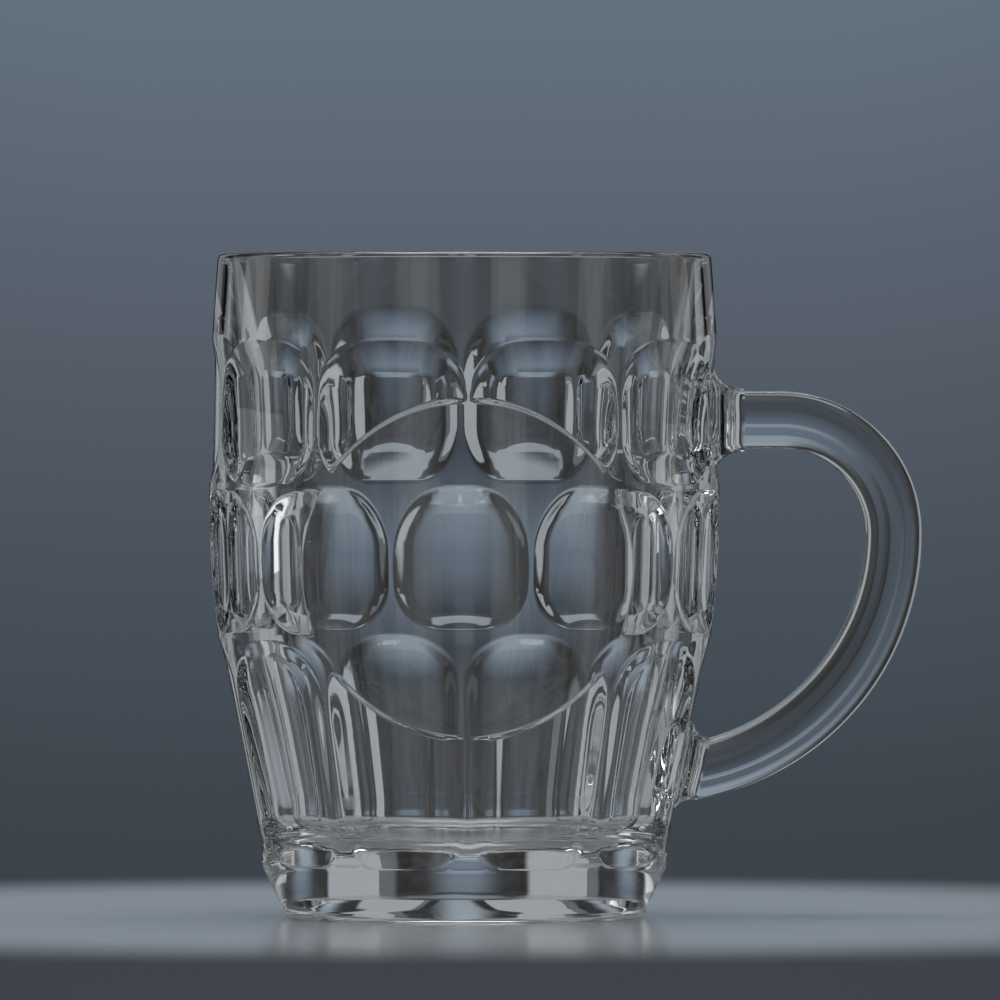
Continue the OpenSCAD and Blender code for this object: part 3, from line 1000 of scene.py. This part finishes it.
def surfaceGroup():
    # Fine ripples and handling marks that pressed glass has, for both glasses
    inputs, outputs = dict.fromkeys(surfaceInputs, "Float"), {"Height": "Float", "Roughness": "Float"}
    tree, given, result = addGroup("pressedGlassSurface", "ShaderNodeTree", inputs, outputs)
    coords = addNode(tree, "ShaderNodeTexCoord").outputs["Object"]
    stretch = addNode(tree, "ShaderNodeCombineXYZ", {0: 1, 1: 1, 2: given["Upright Stretch"]})
    place = addNode(tree, "ShaderNodeVectorMath", {0: coords, 1: stretch.outputs[0]}, operation="MULTIPLY")
    ripple = addNode(tree, "ShaderNodeTexNoise", {
        "Vector": place.outputs[0], "Scale": given["Ripple Scale"], **rippleNoise,
    })
    lift = reckon(tree, "MULTIPLY", ripple.outputs["Fac"], given["Ripple Height"])
    tree.links.new(lift, result["Height"])
    smear = addNode(tree, "ShaderNodeTexNoise", {"Vector": coords, **markNoise}).outputs["Fac"]
    rough = (given["Clear Roughness"], given["Mark Roughness"])
    tree.links.new(ranged(tree, smear, markFrom, markFull, "LINEAR", *rough), result["Roughness"])
    return tree


def glassMaterial(name, surface, look):
    # Clear soda glass, its ripples and marks from the shared surface group
    material, tree, shader = addMaterial(name)
    shader.inputs["Base Color"].default_value = (*look["tint"], 1)
    shader.inputs["Transmission Weight"].default_value = 1.0
    shader.inputs["IOR"].default_value = look["ior"]
    detail = addNode(tree, "ShaderNodeGroup", {k: look[k] for k in surfaceInputs}, node_tree=surface).outputs
    bump = addNode(tree, "ShaderNodeBump", {"Strength": 1.0, "Distance": mm, "Height": detail["Height"]})
    tree.links.new(bump.outputs[0], shader.inputs["Normal"])
    tree.links.new(detail["Roughness"], shader.inputs["Roughness"])
    return material


def fusedMaterial():
    # Fused pieces are one glass, so the faces between them let light straight through
    material, tree, shader = addMaterial("fusedJoint")
    shader.inputs["Alpha"].default_value = 0.0
    shader.inputs["Roughness"].default_value = 0.0
    return material


surface = surfaceGroup()
tumblerGlass = glassMaterial("tumblerGlass", surface, glassLook["tumbler"])
handleGlass = glassMaterial("handleGlass", surface, glassLook["handle"])
fusedJoint = fusedMaterial()
print("materials made")

glassTumbler = makeTumbler(tumblerGlass, fusedJoint)
print("tumbler made:", len(glassTumbler.data.polygons), "faces")
glassHandle = makeHandle(handleGlass, fusedJoint)
upperPad = makePad("upper", "upperHandlePad", handleGlass, fusedJoint)
lowerPad = makePad("lower", "lowerHandlePad", handleGlass, fusedJoint)
print("handle and pads made")

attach(glassTumbler, "root")
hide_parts("body")
for piece, node in ((glassHandle, "handle"), (upperPad, "upper_handle_pad"), (lowerPad, "lower_handle_pad")):
    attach(piece, "root")
    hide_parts(node)

# Metres from the mug and above the floor, degrees to its left, and millimetres to where it looks
cameraPlan = {
    "far": 2.72, "height": 0.105, "turn": 0.9, "aimX": 6.8, "aimZ": 79.7, "lens": 511.2, "sensor": 36,
    "reach": 40,
}

# Sizes are in metres and the backdrop's places in degrees; a pair says where a light starts or ends,
# from its dark side to its bright one
studio = {
    "floorColor": (0.42, 0.45, 0.48),
    "floorRough": 0.16,
    "floorHalf": 0.4,
    "floorUnder": 0.00002,    # keeps it clear of the mug's foot
    "floorSolid": 0.12,       # the floor is even this far from the mug
    "floorEnd": 0.23,         # where it has faded into the backdrop
    "pools": 8,               # light pools on the backdrop, one behind the mug from each main side
    "poolShift": 5,
    "poolSide": (8.4, 1.2),
    "leftLight": ((-12.0, -13.5), 0.36),    # a tall light beside each pool, and how bright it is
    "rightLight": ((13.0, 14.5), 0.11),
    "tallColor": (0.86, 0.94, 1.0),
    "tallLow": (-27.0, -21.0),
    "tallHigh": (45.0, 35.0),
    "sheetColor": (0.21, 0.245, 0.27),      # a low pale sheet in front of each pool
    "sheetSide": (5.2, 3.8),
    "sheetLow": (-15.4, -14.7),
    "sheetHigh": (-10.2, -10.7),
    "room": (0.026, 0.025, 0.025),
    "boxAim": (0, 0, 0.06),
}

# Colour of a pool at each elevation in degrees
poolColors = (
    (-30.0, (0.035, 0.036, 0.038)),
    (-10.0, (0.064, 0.070, 0.080)),
    (-8.0, (0.064, 0.070, 0.080)),
    (-5.0, (0.054, 0.060, 0.069)),
    (-2.4, (0.050, 0.058, 0.068)),
    (-1.9, (0.045, 0.056, 0.070)),
    (-0.8, (0.067, 0.084, 0.105)),
    (0.0, (0.089, 0.107, 0.138)),
    (1.5, (0.127, 0.168, 0.212)),
    (3.0, (0.18, 0.222, 0.272)),
    (5.0, (0.235, 0.285, 0.335)),
    (12.0, (0.25, 0.30, 0.345)),
    (30.0, (0.32, 0.36, 0.39)),
    (34.0, (0.03, 0.03, 0.03)),
)

# Place and size in metres, and power
softBoxes = {
    "topBox": ((0.0, 0.1, 1.3), (0.9, 0.7), 9),
    "leftBox": ((-1.2, 0.5, 0.5), (0.5, 1.0), 0.9),
    "rightBox": ((1.2, 0.6, 0.5), (0.4, 0.9), 0.5),
}


def makeFloor():
    half, under = studio["floorHalf"], -studio["floorUnder"]
    corners = [(x * half, y * half, under) for x, y in ((-1, -1), (1, -1), (1, 1), (-1, 1))]
    floor = addMesh("floor", corners, [(0, 1, 2, 3)])
    material, tree, shader = addMaterial("floorPaper")
    shader.inputs["Base Color"].default_value = (*studio["floorColor"], 1)
    shader.inputs["Roughness"].default_value = studio["floorRough"]
    coords = addNode(tree, "ShaderNodeTexCoord").outputs["Object"]
    far = addNode(tree, "ShaderNodeVectorMath", {0: coords}, operation="LENGTH").outputs["Value"]
    fade = ranged(tree, far, studio["floorSolid"], studio["floorEnd"], toLow=1, toHigh=0)
    tree.links.new(fade, shader.inputs["Alpha"])
    floor.data.materials.append(material)


def makeWorld():
    # A dark studio with soft pools of light on its backdrop and a tall soft light between each two
    world = bpy.data.worlds.new("studioBackdrop")
    bpy.context.scene.world = world
    world.use_nodes = True
    tree = world.node_tree
    coords = addNode(tree, "ShaderNodeTexCoord").outputs["Generated"]
    split = addNode(tree, "ShaderNodeSeparateXYZ", {0: coords}).outputs

    def times(one, other):
        return reckon(tree, "MULTIPLY", one, other)

    def upright(low, high):
        return times(ranged(tree, elevation, *low), ranged(tree, elevation, *high))

    degree = 180 / math.pi
    elevation = times(reckon(tree, "ARCSINE", split["Z"]), degree)
    azimuth = times(reckon(tree, "ARCTAN2", split["X"], split["Y"]), degree)
    half, shift = 180 / studio["pools"], studio["poolShift"]
    offset = reckon(tree, "SUBTRACT", azimuth, cameraPlan["turn"])
    side = reckon(tree, "WRAP", offset, half - shift, -half - shift)
    aside = reckon(tree, "ABSOLUTE", side)
    (lowest, lowColor), *between, (highest, highColor) = poolColors
    height = ranged(tree, elevation, lowest, highest, "LINEAR")
    ramp = addNode(tree, "ShaderNodeValToRGB", {"Fac": height})
    stops = ramp.color_ramp.elements
    stops[0].position, stops[0].color = 0.0, (*lowColor, 1)
    stops[1].position, stops[1].color = 1.0, (*highColor, 1)
    for at, color in between:
        stops.new((at - lowest) / (highest - lowest)).color = (*color, 1)
    pool = addNode(tree, "ShaderNodeMix", {
        "Factor": ranged(tree, aside, *studio["poolSide"]), "A": (*studio["room"], 1), "B": ramp.outputs[0],
    }, data_type="RGBA")
    lights = (studio["leftLight"], studio["rightLight"])
    lights = [times(ranged(tree, side, *edge), bright) for edge, bright in lights]
    tall = times(reckon(tree, "ADD", *lights), upright(studio["tallLow"], studio["tallHigh"]))
    sheet = upright(studio["sheetLow"], studio["sheetHigh"])
    sheet = times(ranged(tree, aside, *studio["sheetSide"]), sheet)
    sky = pool.outputs["Result"]
    for color, share in ((studio["tallColor"], tall), (studio["sheetColor"], sheet)):
        scaled = addNode(tree, "ShaderNodeVectorMath", {0: color, "Scale": share}, operation="SCALE")
        both = {0: sky, 1: scaled.outputs[0]}
        sky = addNode(tree, "ShaderNodeVectorMath", both, operation="ADD").outputs[0]
    tree.links.new(sky, tree.nodes["Background"].inputs["Color"])


def aimed(piece, aim):
    # Turns a light or camera to a point
    piece.rotation_euler = (Vector(aim) - piece.location).to_track_quat("-Z", "Y").to_euler()


def softBox(name, place, size, power):
    light = bpy.data.lights.new(name, "AREA")
    light.shape = "RECTANGLE"
    light.size, light.size_y = size
    light.energy = power
    box = addObject(name, light)
    box.location = place
    box.visible_camera = False
    aimed(box, studio["boxAim"])


def makeCamera():
    data = bpy.data.cameras.new("photoCamera")
    data.lens, data.sensor_width, data.clip_end = (cameraPlan[key] for key in ("lens", "sensor", "reach"))
    camera = addObject("photoCamera", data)
    turn = math.radians(cameraPlan["turn"])
    back = Vector((-math.sin(turn), -math.cos(turn), 0))
    side = Vector((math.cos(turn), -math.sin(turn), 0))
    camera.location = back * cameraPlan["far"] + Vector((0, 0, cameraPlan["height"]))
    aimed(camera, side * cameraPlan["aimX"] * mm + Vector((0, 0, cameraPlan["aimZ"] * mm)))
    bpy.context.scene.camera = camera


makeFloor()
makeWorld()
for name, plan in softBoxes.items():
    softBox(name, *plan)
makeCamera()
scene = bpy.context.scene
scene.view_settings.view_transform = "Standard"
scene.cycles.max_bounces = 24
scene.cycles.transmission_bounces = 24
scene.cycles.glossy_bounces = 8
scene.cycles.transparent_max_bounces = 16
print("studio made")
